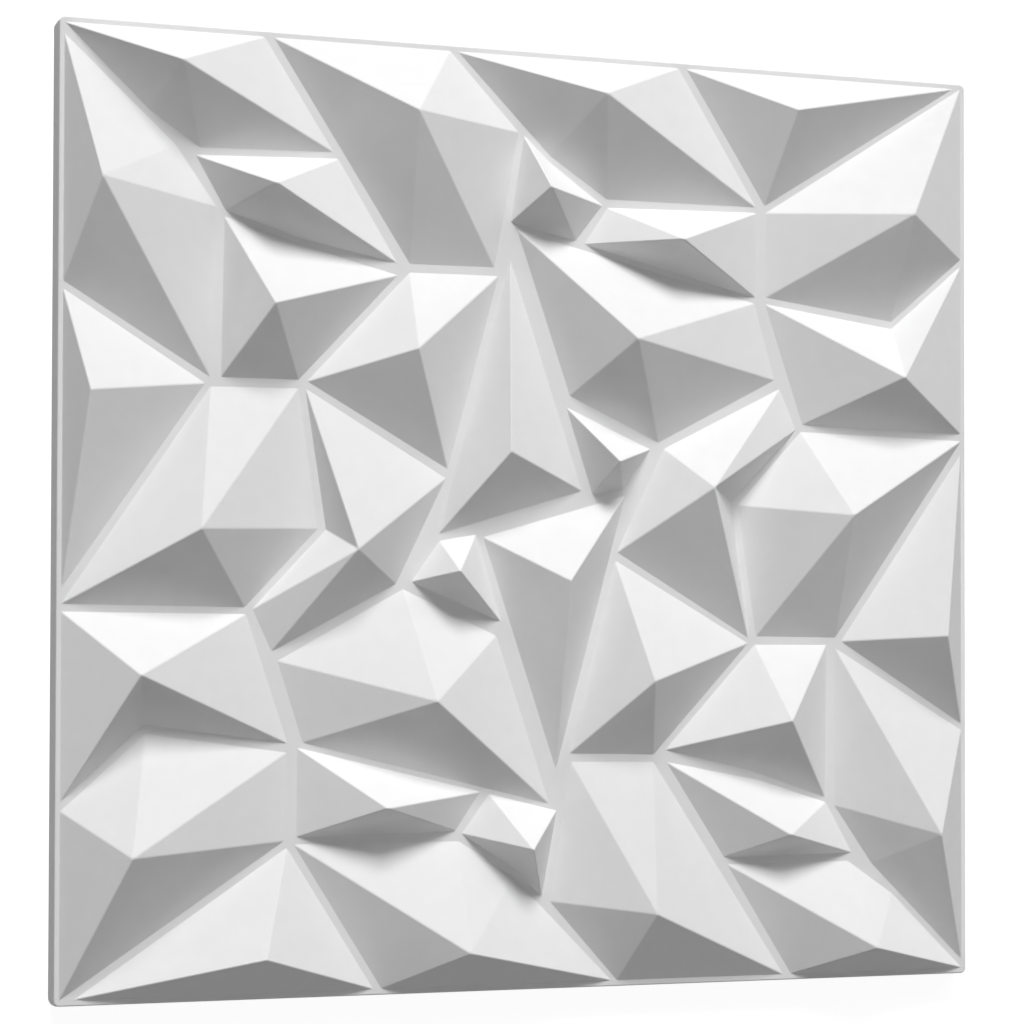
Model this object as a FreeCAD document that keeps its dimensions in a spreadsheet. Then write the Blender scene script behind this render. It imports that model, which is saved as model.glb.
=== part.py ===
import FreeCAD, Part
import math
import os
import Sketcher

# A square wall panel tile with a faceted relief. One thin moulded sheet makes all of it: a
# drafted skirt round the edge, a narrow flat rim, and 36 many-sided pyramids on one flat ground,
# parted by narrow flat channels. The back is hollow and follows the front.
#
# Frame: +Z is out of the face, +X and +Y run along the tile's edges, and the origin is in the
# middle of the tile on the plane of the skirt's back edge, which is the plane of the wall.

doc = FreeCAD.newDocument("wall_panel_tile")

# Driving dimensions, in mm and degrees. Width, height and corner radius are the back edge's.
DIMENSIONS = [
    ("panel_width", "500"),
    ("panel_height", "500"),
    ("corner_radius", "5"),
    ("skirt_depth", "14"),
    ("draft_angle", "9"),
    ("sheet_thickness", "1.2"),
    ("rim_width", "3"),
    ("side_rim_width", "2.5"),
    ("edge_radius", "0.8"),
    ("channel_width", "3"),
    ("relief_height", "27"),
]

# What follows from them. The layout field ends half a channel outside the relief, so that the
# outermost cells, pulled back by that half like all others, leave the rim its own width. The rim
# is rim_width wide at the top and bottom and side_rim_width wide at the sides.
FOLLOWING = [
    ("flare", "=skirt_depth * tan(draft_angle * 1deg)"),
    ("cavity_depth", "=skirt_depth - sheet_thickness"),
    ("field_width", "=panel_width - 2 * flare - 2 * side_rim_width + channel_width"),
    ("field_height", "=panel_height - 2 * flare - 2 * rim_width + channel_width"),
]

sheet = doc.addObject("Spreadsheet::Sheet", "dims")
for row, (alias, value) in enumerate(DIMENSIONS + FOLLOWING, start=1):
    sheet.set(f"A{row}", alias)
    sheet.set(f"B{row}", value)
    sheet.setAlias(f"B{row}", alias)
doc.recompute()

# The layout of the relief, as shares. For each cell: the corners of its outline, which runs along
# the channels round it, half a channel outside the cell's foot, and the place of its peak, both in
# thousandths of the layout field from the lower left; then the peak's rise above the ground, in
# hundredths of relief_height. Where two neighbours' outlines part, the ground between is wider.
# A sharp corner of an outline may lie outside the field: its foot still ends at the rim.
LAYOUT_SHARES = {
    "c01": ([(-4, 1000), (208, 1000), (285, 878), (140, 874), (86, 911)], (118, 955), 84),
    "c02": ([(0, 992), (118, 880), (160, 818), (155, 634), (0, 731)], (39, 832), 89),
    "c03": ([(131, 872), (286, 877), (354, 763), (251, 784), (165, 811)], (214, 835), 85),
    "c04": ([(163, 811), (253, 783), (354, 756), (245, 637), (160, 637)], (213, 712), 86),
    "c05": ([(211, 1000), (406, 1000), (483, 916), (456, 765), (360, 764)], (360, 918), 99),
    "c06": ([(406, 1000), (662, 1000), (756, 846), (578, 845), (513, 889)], (565, 951), 88),
    "c07": ([(664, 1000), (998, 1000), (760, 847)], (785, 950), 74),
    "c08": ([(759, 845), (1000, 1003), (1000, 802), (913, 726), (759, 747)], (918, 841), 91),
    "c09": ([(578, 842), (754, 846), (753, 745), (549, 796)], (651, 800), 85),
    "c10": ([(484, 918), (515, 888), (578, 842), (545, 798), (468, 815)], (505, 849), 80),
    "c11": ([(474, 814), (751, 745), (776, 657), (638, 582), (535, 631)], (598, 690), 98),
    "c12": ([(757, 746), (911, 724), (1000, 802), (1000, 602), (803, 607)], (909, 661), 80),
    "c13": ([(642, 581), (780, 653), (801, 603), (724, 521), (746, 367), (587, 464)], (685, 534), 91),
    "c14": ([(802, 605), (1003, 600), (846, 371), (748, 372), (726, 520)], (844, 507), 100),
    "c15": ([(1000, 592), (1000, 272), (847, 369)], (961, 376), 77),
    "c16": ([(841, 368), (1000, 272), (1000, 5), (885, 121), (840, 187)], (951, 157), 85),
    "c17": ([(748, 369), (837, 369), (835, 193), (743, 225), (640, 249)], (776, 283), 82),
    "c18": ([(587, 461), (746, 368), (634, 243), (534, 245)], (620, 326), 83),
    "c19": ([(471, 787), (555, 529), (389, 477)], (462, 567), 79),
    "c20": ([(360, 761), (462, 762), (405, 546), (248, 638)], (363, 672), 78),
    "c21": ([(247, 637), (405, 542), (350, 426), (215, 352), (193, 401), (270, 485)], (300, 462), 78),
    "c22": ([(151, 633), (246, 634), (268, 484), (190, 399), (-3, 401)], (139, 480), 88),
    "c23": ([(0, 730), (151, 634), (0, 410)], (29, 618), 73),
    "c24": ([(0, 399), (192, 398), (238, 257), (87, 278), (0, 196)], (80, 332), 82),
    "c25": ([(0, 195), (87, 275), (236, 254), (233, 158), (0, -3)], (72, 149), 96),
    "c26": ([(8, 0), (234, 157), (330, 0)], (207, 43), 81),
    "c27": ([(235, 159), (417, 159), (478, 119), (592, 0), (332, 0)], (419, 43), 86),
    "c28": ([(241, 260), (444, 210), (414, 164), (240, 160)], (331, 195), 83),
    "c29": ([(448, 209), (527, 189), (509, 89), (480, 120), (415, 163)], (487, 149), 80),
    "c30": ([(219, 348), (355, 426), (459, 376), (520, 190), (247, 259)], (383, 305), 86),
    "c31": ([(393, 477), (436, 485), (466, 384), (360, 429)], (408, 441), 74),
    "c32": ([(438, 481), (604, 531), (523, 220)], (526, 432), 86),
    "c33": ([(529, 626), (633, 579), (599, 531), (561, 524)], (582, 560), 75),
    "c34": ([(537, 242), (634, 241), (788, 0), (590, 0), (513, 89)], (623, 78), 81),
    "c35": ([(641, 242), (754, 220), (835, 194), (869, 132), (712, 130)], (778, 159), 67),
    "c36": ([(712, 128), (860, 129), (914, 91), (1004, 0), (790, 0)], (877, 34), 77),
}
FIELD_UNITS = 1000
RISE_UNITS = 100


def origin_plane(body, role):
    """Return the body's own origin plane with the given role."""
    return next(item for item in body.Origin.OriginFeatures if item.Role == role)


def rounded_rectangle(body, name, inset, radius):
    """Sketch a centred rectangle with rounded corners on the plane of the wall.

    inset and radius are expressions: how far the rectangle lies inside the tile's outline, and
    the radius of its corners.
    """
    sketch = body.newObject("Sketcher::SketchObject", name)
    sketch.AttachmentSupport = [(origin_plane(body, "XY_Plane"), "")]
    sketch.MapMode = "FlatFace"
    drawn = sheet.corner_radius
    across = sheet.panel_width / 2 - drawn
    along = sheet.panel_height / 2 - drawn
    quarter = math.pi / 2
    upward = FreeCAD.Vector(0, 0, 1)
    centres = [(across, along), (-across, along), (-across, -along), (across, -along)]
    for turn, (x, y) in enumerate(centres):
        circle = Part.Circle(FreeCAD.Vector(x, y, 0), upward, drawn)
        sketch.addGeometry(Part.ArcOfCircle(circle, turn * quarter, (turn + 1) * quarter), False)
    arcs = range(4)
    for arc in arcs:
        start = sketch.Geometry[arc].EndPoint
        end = sketch.Geometry[(arc + 1) % 4].StartPoint
        sketch.addGeometry(Part.LineSegment(start, end), False)
    top, left, bottom, right = (4 + arc for arc in arcs)
    for arc in arcs:
        sketch.addConstraint(Sketcher.Constraint("Tangent", arc, 2, 4 + arc, 1))
        sketch.addConstraint(Sketcher.Constraint("Tangent", 4 + arc, 2, (arc + 1) % 4, 1))
    for side in (top, bottom):
        sketch.addConstraint(Sketcher.Constraint("Horizontal", side))
    for side in (left, right):
        sketch.addConstraint(Sketcher.Constraint("Vertical", side))
    for arc in arcs[1:]:
        sketch.addConstraint(Sketcher.Constraint("Equal", 0, arc))
    sketch.addConstraint(Sketcher.Constraint("Symmetric", top, 1, bottom, 1, -1, 1))
    sized = [
        (Sketcher.Constraint("Radius", 0, drawn), radius),
        (Sketcher.Constraint("Distance", top, 2 * across),
         f"dims.panel_width - 2 * ({inset}) - 2 * ({radius})"),
        (Sketcher.Constraint("Distance", left, 2 * along),
         f"dims.panel_height - 2 * ({inset}) - 2 * ({radius})"),
    ]
    for constraint, expression in sized:
        number = sketch.addConstraint(constraint)
        sketch.setExpression(f"Constraints[{number}]", expression)
    doc.recompute()
    return sketch


def cell_sketch(name, corners):
    """Sketch one cell's outline on the ground, half a channel outside the cell's foot."""
    sketch = doc.addObject("Sketcher::SketchObject", f"{name}_outline")
    sketch.setExpression("Placement.Base.x", "-dims.field_width / 2")
    sketch.setExpression("Placement.Base.y", "-dims.field_height / 2")
    sketch.setExpression("Placement.Base.z", "dims.skirt_depth")
    places = [(x * sheet.field_width / FIELD_UNITS, y * sheet.field_height / FIELD_UNITS)
              for x, y in corners]
    points = [FreeCAD.Vector(x, y, 0) for x, y in places]
    edges = range(len(corners))
    following = [(edge + 1) % len(corners) for edge in edges]
    for edge in edges:
        sketch.addGeometry(Part.LineSegment(points[edge], points[following[edge]]), False)
    for edge in edges:
        sketch.addConstraint(Sketcher.Constraint("Coincident", edge, 2, following[edge], 1))
    directions = (("DistanceX", "field_width", -2), ("DistanceY", "field_height", -1))
    for edge in edges:
        for share, place, (kind, side, axis) in zip(corners[edge], places[edge], directions):
            if share == 0:
                sketch.addConstraint(Sketcher.Constraint("PointOnObject", edge, 1, axis))
                continue
            number = sketch.addConstraint(Sketcher.Constraint(kind, -1, 1, edge, 1, place))
            sketch.setExpression(f"Constraints[{number}]", f"dims.{side} * {share} / {FIELD_UNITS}")
    return sketch


def cell_pyramid(name, corners, peak, rise):
    """Build one cell: its outline, pulled back by half a channel to its foot, raised to its peak."""
    base = doc.addObject("Part::Offset2D", f"{name}_base")
    base.Source = cell_sketch(name, corners)
    base.Join = "Intersection"
    base.setExpression("Value", "-dims.channel_width / 2")
    tip = doc.addObject("Part::Vertex", f"{name}_peak")
    tip.setExpression("X", f"dims.field_width * ({peak[0]} / {FIELD_UNITS} - 0.5)")
    tip.setExpression("Y", f"dims.field_height * ({peak[1]} / {FIELD_UNITS} - 0.5)")
    tip.setExpression("Z", f"dims.skirt_depth + dims.relief_height * {rise} / {RISE_UNITS}")
    pyramid = doc.addObject("Part::Loft", f"{name}_pyramid")
    pyramid.Sections = [base, tip]
    pyramid.Solid = True
    pyramid.Ruled = True
    return pyramid


def level_edges(shape, height):
    """Name the edges of a shape that lie level at a height."""
    tolerance = 0.001
    return [
        f"Edge{number}"
        for number, edge in enumerate(shape.Edges, start=1)
        if abs(edge.BoundBox.ZMin - height) < tolerance and edge.BoundBox.ZLength < tolerance
    ]


# The tray: a block with drafted sides and softened rim edges, hollowed from behind.
tray = doc.addObject("PartDesign::Body", "tray")
block = tray.newObject("PartDesign::Pad", "block")
block.Profile = rounded_rectangle(tray, "outside", "0", "dims.corner_radius")
block.setExpression("Length", "dims.skirt_depth")
block.setExpression("TaperAngle", "-dims.draft_angle")
doc.recompute()

rim_edge = tray.newObject("PartDesign::Fillet", "rim_edge")
rim_edge.Base = (block, level_edges(block.Shape, sheet.skirt_depth))
rim_edge.setExpression("Radius", "dims.edge_radius")
doc.recompute()

cavity = tray.newObject("PartDesign::Pocket", "cavity")
cavity.Profile = rounded_rectangle(tray, "inside", "dims.sheet_thickness",
                                   "dims.corner_radius - dims.sheet_thickness")
cavity.Reversed = True
cavity.setExpression("Length", "dims.cavity_depth")
cavity.setExpression("TaperAngle", "-dims.draft_angle")
tray.Tip = cavity
doc.recompute()

# The relief stands on the tray, and the same relief one sheet lower hollows it out from behind,
# so the wall is one sheet thick measured straight through and thins on steep facets, as a
# stretched sheet does.
relief = doc.addObject("Part::Compound", "relief")
relief.Links = [cell_pyramid(name, *layout) for name, layout in LAYOUT_SHARES.items()]
doc.recompute()

relief_behind = doc.addObject("Part::Compound", "relief_behind")
relief_behind.Links = [relief]
relief_behind.setExpression("Placement.Base.z", "-dims.sheet_thickness")

front = doc.addObject("Part::MultiFuse", "front")
front.Shapes = [tray, relief]

panel = doc.addObject("Part::Cut", "wall_panel")
panel.Label = "wall_panel"
panel.Base = front
panel.Tool = relief_behind
panel.Placement = FreeCAD.Placement()
doc.recompute()

for item in doc.Objects:
    if "Invalid" in item.State or "Error" in item.State:
        raise RuntimeError(f"{item.Label} did not build: {item.State}")
if cavity.Shape.Volume >= rim_edge.Shape.Volume:
    raise RuntimeError("the cavity took nothing out of the tray")
if relief.Shape.BoundBox.XLength >= rim_edge.Shape.BoundBox.XLength:
    raise RuntimeError("the relief reaches past the tray")
if panel.Shape.isNull() or not panel.Shape.isValid() or len(panel.Shape.Solids) != 1:
    raise RuntimeError(f"the panel isn't one valid solid but {len(panel.Shape.Solids)}")

os.makedirs("parts", exist_ok=True)
panel.Shape.exportStep("parts/wall_panel.step")

size = panel.Shape.BoundBox
print(f"wall_panel: {size.XLength:.2f} x {size.YLength:.2f} x {size.ZLength:.2f} mm, "
      f"{panel.Shape.Volume / 1000:.1f} cm3, {len(panel.Shape.Faces)} faces")
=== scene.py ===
import math

import bpy
from mathutils import Matrix, Vector

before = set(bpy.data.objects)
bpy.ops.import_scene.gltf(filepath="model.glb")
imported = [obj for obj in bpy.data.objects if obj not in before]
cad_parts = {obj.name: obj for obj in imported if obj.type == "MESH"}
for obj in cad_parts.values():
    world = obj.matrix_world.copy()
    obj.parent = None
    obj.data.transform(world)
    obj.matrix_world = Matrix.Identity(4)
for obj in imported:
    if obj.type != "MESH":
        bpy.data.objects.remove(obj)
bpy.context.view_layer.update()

MM = 0.001

# The relief's ground is the rim's level, and its cells end inside the rim.
GROUND = 14.0 * MM
RELIEF_REACH = 246.0 * MM

# Before the edges are softened, vertices closer than this gap are joined, and faces that lie
# within this angle of one plane are made one.
WELD_GAP = 0.01 * MM
COPLANAR_ANGLE = math.radians(0.2)

# An edge of the relief that turns by more than FLAT_ANGLE is rounded, and by less at a foot than
# at a ridge, which lies above the ground. Of the other edges, one that turns by more than
# SHARP_ANGLE stays crisp.
FLAT_ANGLE = math.radians(4)
SHARP_ANGLE = math.radians(35)
RIDGE_SOFTNESS = 0.6 * MM
RIDGE_PROFILE = 0.3
RIDGE_STRIPS = 3
RIDGE_CLEARANCE = 0.3 * MM
FOOT_SOFTNESS = 0.4
# How far a large face outweighs a small one in the shading of the edges between them.
FACE_SIZE_WEIGHT = 100

# The plastic: how far its tone and roughness range, its grain and the sheet's faint waves.
TONE_RANGE = (0.83, 0.85)
ROUGHNESS_RANGE = (0.55, 0.65)
SPECULAR_LEVEL = 0.35
MOTTLE_SIZE = 9.0 * MM
GLOSS_PATCH_SIZE = 3.0 * MM
GRAIN_SIZE = 1.0 * MM
GRAIN_DEPTH = 0.012 * MM
WAVE_SIZE = 45.0 * MM
WAVE_DEPTH = 0.15 * MM
# Noise keeps near its middle, so this span of its values is the one that is mapped to a range.
NOISE_SPAN = (0.3, 0.7)

FLOOR_HALF_WIDTH = 6.0
FLOOR_TONE = 0.3
FLOOR_GLOW = 0.9

# Camera: stands to the left of the tile and looks down on it at about 15 degrees off its face.
CAMERA_PLACE = Vector((-0.2922, -0.0766, 1.0942))
CAMERA_TARGET = Vector((-0.0129, -0.0558, 0.014))
CAMERA_ROLL = math.radians(0.13)
CAMERA_CLIP_START = 0.01
CAMERA_CLIP_END = 50
CAMERA_LENS_PX = 2120.0
IMAGE_PX = 1024
HORIZON_PX = 624.0
SENSOR_MM = 36.0

# The square softboxes: name, azimuth (from +Y towards +X) and elevation in degrees, distance and
# width in metres, power in watts. The two edge fills stand low and light the skirt.
SOFTBOXES = (
    ("key", 0, 31, 8.5, 2.8, 651),
    ("front_fill", 0, 88, 6.0, 4.0, 26),
    ("right_fill", 40, 30, 6.0, 3.0, 71),
    ("left_fill", -60, 60, 6.0, 4.0, 22),
    ("low_fill", 180, 45, 6.0, 4.0, 34),
    ("left_edge_fill", -90, 3, 3.0, 0.28, 4.0),
    ("lower_edge_fill", 180, 3, 3.0, 0.28, 4.0),
)


def put_in_scene(name, data):
    """Create an object with this data and link it to the scene."""
    thing = bpy.data.objects.new(name, data)
    bpy.context.scene.collection.objects.link(thing)
    return thing


def math_node(tree, operation, first, second=0.0):
    """Add a Math node, whose operands are sockets or numbers, and return its result."""
    node = tree.nodes.new("ShaderNodeMath")
    node.operation = operation
    for socket, value in zip(node.inputs, (first, second)):
        if isinstance(value, bpy.types.NodeSocket):
            tree.links.new(value, socket)
        else:
            socket.default_value = value
    return node.outputs[0]


def add_camera():
    """Create the camera, with the photograph's upright framing as a small vertical shift."""
    data = bpy.data.cameras.new("camera")
    data.sensor_width = SENSOR_MM
    data.sensor_fit = "HORIZONTAL"
    data.lens = CAMERA_LENS_PX * SENSOR_MM / IMAGE_PX
    data.shift_y = (HORIZON_PX - IMAGE_PX / 2) / IMAGE_PX
    data.clip_start = CAMERA_CLIP_START
    data.clip_end = CAMERA_CLIP_END
    camera = put_in_scene("camera", data)
    back = (CAMERA_PLACE - CAMERA_TARGET).normalized()
    right = Vector((0, 1, 0)).cross(back).normalized()
    up = back.cross(right)
    turned_right = math.cos(CAMERA_ROLL) * right + math.sin(CAMERA_ROLL) * up
    turned_up = math.cos(CAMERA_ROLL) * up - math.sin(CAMERA_ROLL) * right
    rows = Matrix((turned_right, turned_up, back)).transposed().to_4x4()
    camera.matrix_world = Matrix.Translation(CAMERA_PLACE) @ rows
    bpy.context.scene.camera = camera


def add_softbox(name, azimuth, elevation, distance, size, power):
    """Add a square lamp that faces the tile."""
    data = bpy.data.lights.new(name, "AREA")
    data.shape = "SQUARE"
    data.size = size
    data.energy = power
    around, above = math.radians(azimuth), math.radians(elevation)
    level = math.cos(above)
    away = Vector((math.sin(around) * level, math.cos(around) * level, math.sin(above)))
    lamp = put_in_scene(name, data)
    lamp.location = away * distance
    lamp.rotation_euler = away.to_track_quat("Z", "Y").to_euler()


def edge_weights():
    """Build the node group that says how soft each edge of the relief is, from 0 to 1.

    It also sets which of the other edges are sharp, so that each facet is shaded flat.
    """
    group = bpy.data.node_groups.new("edge_weights", "GeometryNodeTree")
    group.interface.new_socket("Geometry", in_out="INPUT", socket_type="NodeSocketGeometry")
    group.interface.new_socket("Geometry", in_out="OUTPUT", socket_type="NodeSocketGeometry")
    nodes, links = group.nodes, group.links

    place = nodes.new("ShaderNodeSeparateXYZ")
    links.new(nodes.new("GeometryNodeInputPosition").outputs[0], place.inputs[0])
    across = math_node(group, "ABSOLUTE", place.outputs["X"])
    along = math_node(group, "ABSOLUTE", place.outputs["Y"])
    farther = math_node(group, "MAXIMUM", across, along)
    inside_rim = math_node(group, "LESS_THAN", farther, RELIEF_REACH)
    angle = nodes.new("GeometryNodeInputMeshEdgeAngle").outputs["Unsigned Angle"]
    turned = math_node(group, "GREATER_THAN", angle, FLAT_ANGLE)
    softened = math_node(group, "MULTIPLY", inside_rim, turned)
    raised = math_node(group, "GREATER_THAN", place.outputs["Z"], GROUND + RIDGE_CLEARANCE)
    extra = math_node(group, "MULTIPLY", raised, 1 - FOOT_SOFTNESS)
    softness = math_node(group, "ADD", extra, FOOT_SOFTNESS)
    weight = math_node(group, "MULTIPLY", softened, softness)

    unsoftened = math_node(group, "LESS_THAN", weight, 0.5 * FOOT_SOFTNESS)
    steep = math_node(group, "GREATER_THAN", angle, SHARP_ANGLE)
    sharp = math_node(group, "MULTIPLY", unsoftened, steep)

    plain = nodes.new("GeometryNodeRemoveAttribute")
    plain.inputs["Name"].default_value = "custom_normal"
    smooth_faces = nodes.new("GeometryNodeSetShadeSmooth")
    sharp_edges = nodes.new("GeometryNodeSetShadeSmooth")
    sharp_edges.domain = "EDGE"
    links.new(math_node(group, "SUBTRACT", 1.0, sharp), sharp_edges.inputs["Shade Smooth"])
    store = nodes.new("GeometryNodeStoreNamedAttribute")
    store.domain = "EDGE"
    store.data_type = "FLOAT"
    store.inputs["Name"].default_value = "bevel_weight_edge"
    links.new(weight, store.inputs["Value"])

    entry = nodes.new("NodeGroupInput")
    exit_node = nodes.new("NodeGroupOutput")
    chain = [entry, plain, smooth_faces, sharp_edges, store, exit_node]
    for before, after in zip(chain, chain[1:]):
        links.new(before.outputs[0], after.inputs[0])
    return group


def soften_edges(panel):
    """Round the relief's ridges and the feet of its facets, as a moulded sheet has them."""
    weld = panel.modifiers.new("weld", "WELD")
    weld.merge_threshold = WELD_GAP
    flat = panel.modifiers.new("flat_faces", "DECIMATE")
    flat.decimate_type = "DISSOLVE"
    flat.angle_limit = COPLANAR_ANGLE
    weights = panel.modifiers.new("edge_weights", "NODES")
    weights.node_group = edge_weights()
    bevel = panel.modifiers.new("soft_edges", "BEVEL")
    bevel.width = RIDGE_SOFTNESS
    bevel.segments = RIDGE_STRIPS
    bevel.profile = RIDGE_PROFILE
    bevel.limit_method = "WEIGHT"
    bevel.use_clamp_overlap = False
    normals = panel.modifiers.new("flat_facets", "WEIGHTED_NORMAL")
    normals.weight = FACE_SIZE_WEIGHT
    normals.keep_sharp = True


def panel_material():
    """Matte white moulded plastic: a fine grain over a faint unevenness of the sheet."""
    material = bpy.data.materials.new("panel_white")
    material.use_nodes = True
    nodes, links = material.node_tree.nodes, material.node_tree.links
    shader = nodes["Principled BSDF"]
    shader.inputs["Specular IOR Level"].default_value = SPECULAR_LEVEL
    place = nodes.new("ShaderNodeTexCoord").outputs["Object"]

    def noise(feature, detail, seed):
        """Noise whose features are about the given length across."""
        node = nodes.new("ShaderNodeTexNoise")
        node.noise_dimensions = "4D"
        node.inputs["W"].default_value = seed
        node.inputs["Scale"].default_value = 1 / feature
        node.inputs["Detail"].default_value = detail
        links.new(place, node.inputs["Vector"])
        return node.outputs["Fac"]

    def spread(value, lowest, highest):
        """Map the usual span of noise to a range of values."""
        node = nodes.new("ShaderNodeMapRange")
        node.inputs["From Min"].default_value, node.inputs["From Max"].default_value = NOISE_SPAN
        node.inputs["To Min"].default_value = lowest
        node.inputs["To Max"].default_value = highest
        links.new(value, node.inputs["Value"])
        return node.outputs["Result"]

    def bump(height, depth, under=None):
        """Tilt the surface as this height would, on top of an earlier bump if one is given."""
        node = nodes.new("ShaderNodeBump")
        node.inputs["Distance"].default_value = depth
        links.new(height, node.inputs["Height"])
        if under:
            links.new(under, node.inputs["Normal"])
        return node.outputs["Normal"]

    tone = nodes.new("ShaderNodeCombineColor")
    shade = spread(noise(MOTTLE_SIZE, detail=4, seed=1.0), *TONE_RANGE)
    for channel in tone.inputs[:3]:
        links.new(shade, channel)
    links.new(tone.outputs[0], shader.inputs["Base Color"])
    roughness = spread(noise(GLOSS_PATCH_SIZE, detail=2, seed=2.0), *ROUGHNESS_RANGE)
    links.new(roughness, shader.inputs["Roughness"])
    waves = bump(noise(WAVE_SIZE, detail=1, seed=3.0), WAVE_DEPTH)
    grain = bump(noise(GRAIN_SIZE, detail=2, seed=4.0), GRAIN_DEPTH, waves)
    links.new(grain, shader.inputs["Normal"])
    return material


def seen_by_eye(tree):
    """Return a socket that is 1 where a ray sees a surface directly, in gloss or through glass."""
    rays = tree.nodes.new("ShaderNodeLightPath").outputs
    seen = math_node(tree, "MAXIMUM", rays["Is Camera Ray"], rays["Is Glossy Ray"])
    return math_node(tree, "MAXIMUM", seen, rays["Is Transmission Ray"])


def floor_material():
    """A pale floor that looks white and still takes the tile's shadow."""
    material = bpy.data.materials.new("floor_white")
    material.use_nodes = True
    tree = material.node_tree
    nodes, links = tree.nodes, tree.links
    nodes.clear()
    output = nodes.new("ShaderNodeOutputMaterial")
    diffuse = nodes.new("ShaderNodeBsdfDiffuse")
    diffuse.inputs["Color"].default_value = (FLOOR_TONE, FLOOR_TONE, FLOOR_TONE, 1)
    glow = nodes.new("ShaderNodeEmission")
    both = nodes.new("ShaderNodeAddShader")
    strength = math_node(tree, "MULTIPLY", seen_by_eye(tree), FLOOR_GLOW)
    links.new(strength, glow.inputs["Strength"])
    links.new(diffuse.outputs[0], both.inputs[0])
    links.new(glow.outputs[0], both.inputs[1])
    links.new(both.outputs[0], output.inputs["Surface"])
    return material


def add_floor():
    """Lay a square floor under the tile."""
    mesh = bpy.data.meshes.new("floor")
    low, high = -FLOOR_HALF_WIDTH, FLOOR_HALF_WIDTH
    corners = [(low, low, 0), (high, low, 0), (high, high, 0), (low, high, 0)]
    mesh.from_pydata(corners, [], [(0, 1, 2, 3)])
    mesh.materials.append(floor_material())
    floor = put_in_scene("floor", mesh)


def add_world():
    """Surround the scene with a white that the eye sees and that gives matte surfaces no light."""
    world = bpy.data.worlds.new("studio")
    bpy.context.scene.world = world
    world.use_nodes = True
    tree = world.node_tree
    nodes, links = tree.nodes, tree.links
    nodes.clear()
    output = nodes.new("ShaderNodeOutputWorld")
    sky = nodes.new("ShaderNodeBackground")
    sky.inputs["Color"].default_value = (1, 1, 1, 1)
    links.new(seen_by_eye(tree), sky.inputs["Strength"])
    links.new(sky.outputs[0], output.inputs["Surface"])


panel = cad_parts["wall_panel"]
panel.data.materials.clear()
panel.data.materials.append(panel_material())
soften_edges(panel)

add_floor()
add_world()
add_camera()
for softbox in SOFTBOXES:
    add_softbox(*softbox)

bpy.context.scene.view_settings.view_transform = "Standard"
